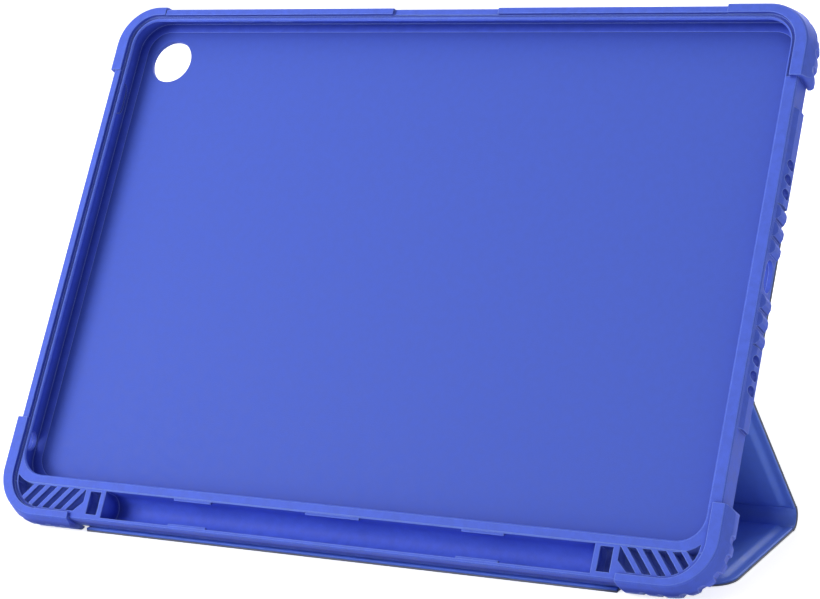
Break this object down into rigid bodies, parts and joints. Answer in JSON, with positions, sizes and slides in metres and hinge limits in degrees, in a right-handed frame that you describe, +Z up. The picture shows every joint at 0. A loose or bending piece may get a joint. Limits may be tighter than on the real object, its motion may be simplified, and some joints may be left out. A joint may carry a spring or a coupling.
{
  "type": "tablet case",
  "caption": "Rugged folio case for a tablet, with corner bumpers, a stylus groove and a folding cover that stands it up at a slant.",
  "frame": {"origin": "on the table, at the centre of the bounding box", "axes": "+X along the case's long side, +Y to the back, +Z up"},
  "size_m": [0.2608, 0.1122, 0.1647],
  "materials": {
    "soft_moulding": "satin moulded elastomer",
    "back_panel": "fine spark texture",
    "cover_skin": "smooth synthetic leather",
    "cover_lining": "brushed microfibre",
    "board": "pressed fibreboard",
    "magnet": "nickel plate"
  },
  "bodies": {
    "shell": {"bumper_frame": "soft_moulding", "stylus_tray": "soft_moulding", "corner_bumper_top_left": "soft_moulding", "corner_bumper_top_right": "soft_moulding", "corner_bumper_bottom_left": "soft_moulding", "corner_bumper_bottom_right": "soft_moulding", "back_panel": "back_panel", "stand_magnets": "magnet", "anchor_strip": "cover_skin", "spine_crease": "cover_skin"},
    "power_button": {"power_button_pad": "soft_moulding"},
    "volume_up": {"volume_up_pad": "soft_moulding"},
    "volume_down": {"volume_down_pad": "soft_moulding"},
    "spine": {"spine_skin": "cover_skin", "spine_lining": "cover_lining", "base_crease": "cover_skin"},
    "base_panel": {"base_panel_skin": "cover_skin", "base_panel_board": "board", "base_panel_lining": "cover_lining", "rear_bend": "cover_skin"},
    "strut_panel": {"strut_panel_skin": "cover_skin", "strut_panel_board": "board", "strut_panel_lining": "cover_lining", "flap_crease": "cover_skin"},
    "flap_panel": {"flap_panel_skin": "cover_skin", "flap_panel_board": "board", "flap_panel_lining": "cover_lining", "flap_magnets": "magnet"}
  },
  "joints": [
    {"name": "spine_fold", "type": "hinge", "parent": "shell", "child": "spine", "pos_m": [0, -0.04977, 0.00125], "axis": [1, 0, 0], "range_deg": [-213, 0], "deforming": ["spine_crease"]},
    {"name": "base_fold", "type": "hinge", "parent": "spine", "child": "base_panel", "pos_m": [0, -0.03975, 0.00125], "axis": [1, 0, 0], "range_deg": [-90, 0], "deforming": ["base_crease"]},
    {"name": "rear_fold", "type": "hinge", "parent": "base_panel", "child": "strut_panel", "pos_m": [0, 0.02679, 0.00281], "axis": [1, 0, 0], "range_deg": [-129.5, 0], "deforming": ["rear_bend"]},
    {"name": "flap_fold", "type": "hinge", "parent": "strut_panel", "child": "flap_panel", "pos_m": [0, -0.01119, 0.05134], "axis": [-1, 0, 0], "range_deg": [-72.55, 0], "deforming": ["flap_crease"]},
    {"name": "power_press", "type": "slide", "parent": "shell", "child": "power_button", "axis": [1, 0, 0], "range_m": [0, 0.0004], "stiffness_N_per_m": 1500, "springref_m": -0.0003},
    {"name": "volume_up_press", "type": "slide", "parent": "shell", "child": "volume_up", "axis": [0, -0.5446, -0.8387], "range_m": [0, 0.0004], "stiffness_N_per_m": 1500, "springref_m": -0.0003},
    {"name": "volume_down_press", "type": "slide", "parent": "shell", "child": "volume_down", "axis": [0, -0.5446, -0.8387], "range_m": [0, 0.0004], "stiffness_N_per_m": 1500, "springref_m": -0.0003}
  ],
  "couplings": [
    {"joint": "flap_fold", "follows": "rear_fold", "ratio": 0.55985}
  ]
}
